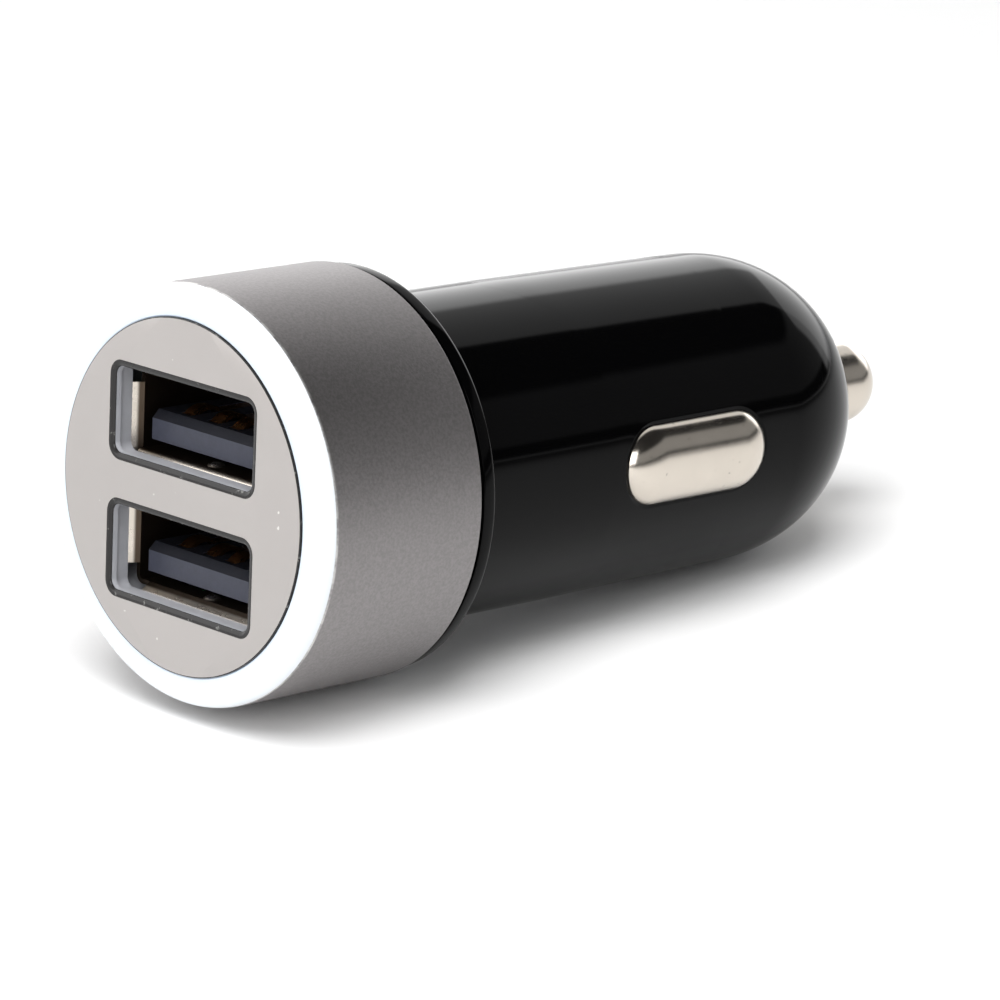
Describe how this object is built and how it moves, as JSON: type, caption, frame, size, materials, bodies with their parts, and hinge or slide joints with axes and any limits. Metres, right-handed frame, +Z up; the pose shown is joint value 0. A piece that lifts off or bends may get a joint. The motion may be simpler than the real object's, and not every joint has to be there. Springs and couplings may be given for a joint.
{
  "type": "car usb charger plug",
  "caption": "Compact charger that plugs into a vehicle's power socket, with stacked USB sockets in a round lit face, a metal sleeve, a black barrel and sprung contacts.",
  "frame": {"origin": "on the ground under the middle of the plug's length, between its two sides", "axes": "+X along the plug from its face to its tip, level with the ground; +Z up; the plug's own axis dips 5.08 degrees towards the tip, because it lies on its head and its tail"},
  "size_m": [0.0614, 0.0262, 0.0271],
  "materials": {
    "plate_grey": "satin grey with clear-looking edges",
    "light_diffuser": "translucent, lit pale blue and white",
    "frame_grey": "satin moulded",
    "gunmetal": "fine bead-blasted, gunmetal",
    "black_gloss": "polished black moulding",
    "nickel": "nickel plated",
    "insulator_black": "satin slate black",
    "contact_copper": "thin gold over copper alloy",
    "board_green": "solder mask",
    "chip_black": "moulded epoxy",
    "chip_tan": "ceramic",
    "light_chip": "phosphor cream",
    "ferrite": "matt ferrite",
    "copper_wire": "enamelled copper",
    "can_aluminium": "drawn can",
    "spring_bronze": "phosphor bronze",
    "spring_steel": "bright wire",
    "gold_pin": "gold flashed"
  },
  "bodies": {
    "charger": {"face_plate": "plate_grey", "light_ring": "light_diffuser", "port_frame": "frame_grey", "head_sleeve": "gunmetal", "barrel_housing": "black_gloss", "light_board": "board_green", "light_chips": "light_chip", "light_pins": "gold_pin", "socket_shell": "nickel", "socket_divider": "nickel", "socket_block": "insulator_black", "socket_contacts_upper": "contact_copper", "socket_contacts_lower": "contact_copper", "socket_board": "board_green", "power_board": "board_green", "converter_chips": "chip_black", "chip_parts": "chip_tan", "inductor_core": "ferrite", "inductor_coil": "copper_wire", "input_capacitor": "can_aluminium", "output_capacitor": "can_aluminium", "side_leaf_left": "spring_bronze", "side_leaf_right": "spring_bronze", "spring_terminal": "gold_pin", "tip_spring": "spring_steel"},
    "centre_contact": {"centre_contact": "nickel"},
    "side_contact_left": {"side_contact_left": "nickel"},
    "side_contact_right": {"side_contact_right": "nickel"}
  },
  "joints": [
    {"name": "centre_contact_press", "type": "slide", "parent": "charger", "child": "centre_contact", "axis": [-0.9961, 0, 0.0886], "range_m": [0, 0.0025], "stiffness_N_per_m": 2000, "springref_m": -0.001, "deforming": ["tip_spring"]},
    {"name": "side_contact_left_press", "type": "slide", "parent": "charger", "child": "side_contact_left", "axis": [0, -1, 0], "range_m": [0, 0.001], "stiffness_N_per_m": 3000, "springref_m": -0.0005, "deforming": ["side_leaf_left"]},
    {"name": "side_contact_right_press", "type": "slide", "parent": "charger", "child": "side_contact_right", "axis": [0, 1, 0], "range_m": [0, 0.001], "stiffness_N_per_m": 3000, "springref_m": -0.0005, "deforming": ["side_leaf_right"]}
  ]
}
